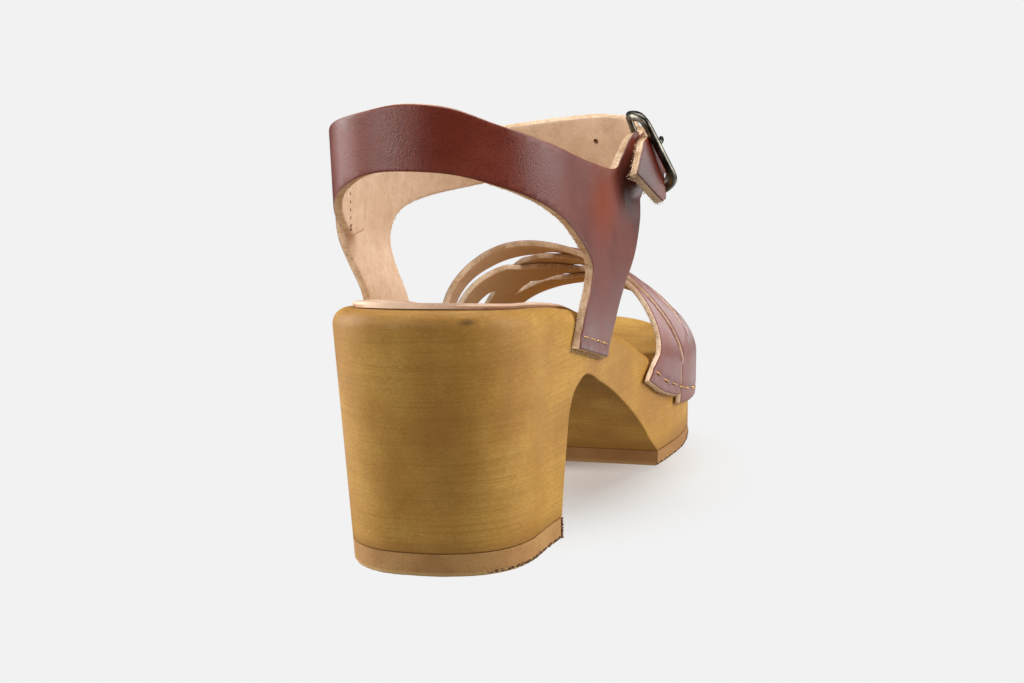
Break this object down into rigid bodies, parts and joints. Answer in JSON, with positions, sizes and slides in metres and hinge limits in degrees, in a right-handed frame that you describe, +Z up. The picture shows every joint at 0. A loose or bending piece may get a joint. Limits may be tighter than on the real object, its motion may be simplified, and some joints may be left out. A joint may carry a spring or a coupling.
{
  "type": "wooden clog sandal",
  "caption": "Right clog sandal: carved wood sole with block heel and open arch, woven leather forefoot straps, leather heel band, buckled ankle strap and rubber treads.",
  "frame": {"origin": "middle of the whole box, on the floor", "axes": "+Y from the heel to the toe, +X to the outer side of the right foot, +Z up from the floor"},
  "size_m": [0.1012, 0.2434, 0.1389],
  "materials": {
    "limewood": "stained honey brown, satin varnish over fine straight grain",
    "tan_rubber": "matt, cut edges",
    "sock_leather": "pale, matt",
    "brown_leather": "red brown pebbled grain outside, bare pale flesh side inside and at the cut edges",
    "dark_brass": "darkened, polished"
  },
  "bodies": {
    "root": {"wood_sole": "limewood", "heel_lift": "tan_rubber", "forefoot_outsole": "tan_rubber", "heel_sock": "sock_leather", "vamp_straps": "brown_leather", "back_strap": "brown_leather", "ankle_strap": "brown_leather", "buckle_frame": "dark_brass", "buckle_prong": "dark_brass"}
  },
  "joints": []
}
